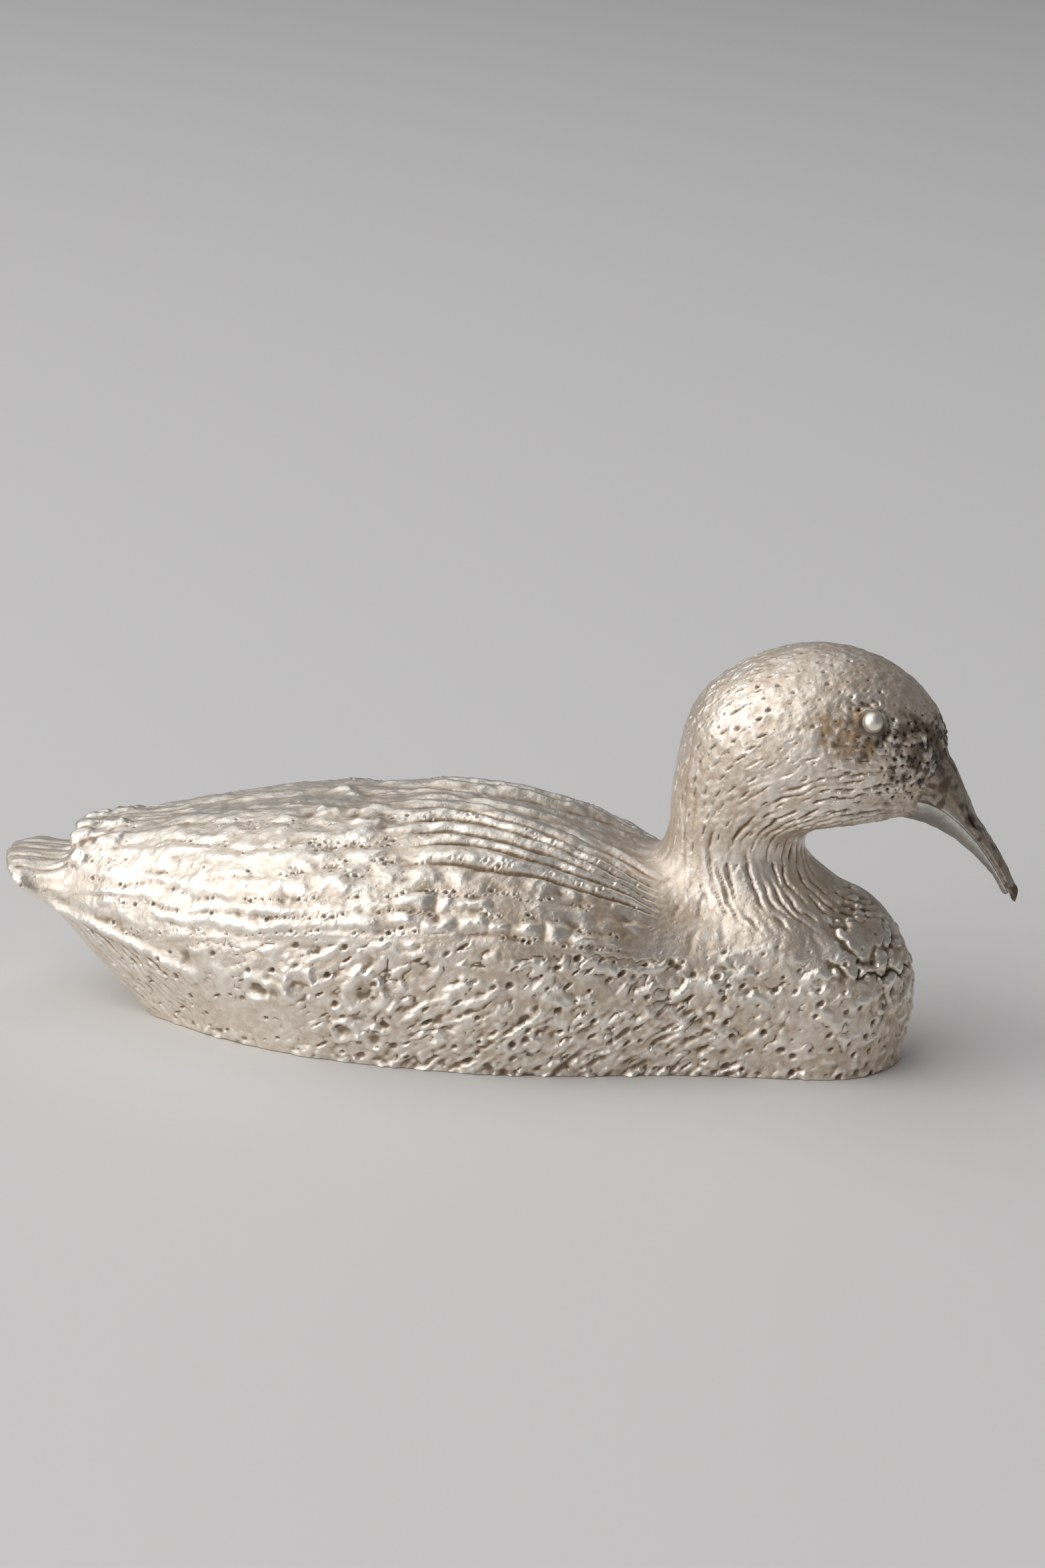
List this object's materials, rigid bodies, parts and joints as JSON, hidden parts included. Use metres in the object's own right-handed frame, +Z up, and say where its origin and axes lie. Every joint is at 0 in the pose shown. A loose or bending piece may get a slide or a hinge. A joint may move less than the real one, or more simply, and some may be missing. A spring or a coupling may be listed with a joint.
{
  "type": "duck figurine",
  "caption": "Resting duck ornament in cast silver metal with folded feathered wings, lowered curved bill and a flat sole to stand on.",
  "frame": {"origin": "middle of the figure's box, on the surface that the sole stands on", "axes": "+X from tail to bill, +Y to the duck's left, +Z up"},
  "size_m": [0.1198, 0.045, 0.0492],
  "materials": {
    "hull_silver": "aged silver plate, pitted",
    "back_silver": "aged silver plate",
    "wing_silver": "aged silver plate, polished high spots",
    "tail_silver": "aged silver plate",
    "head_silver": "aged silver plate, grooved",
    "bill_silver": "aged silver plate, frosted",
    "eye_silver": "polished silver plate",
    "plate_silver": "dull silver plate"
  },
  "bodies": {
    "root": {"lower_hull": "hull_silver", "upper_back": "back_silver", "right_wing": "wing_silver", "left_wing": "wing_silver", "tail_fan": "tail_silver", "head_and_neck": "head_silver", "upper_bill": "bill_silver", "lower_bill": "bill_silver", "right_eye": "eye_silver", "left_eye": "eye_silver", "base_plate": "plate_silver"}
  },
  "joints": []
}
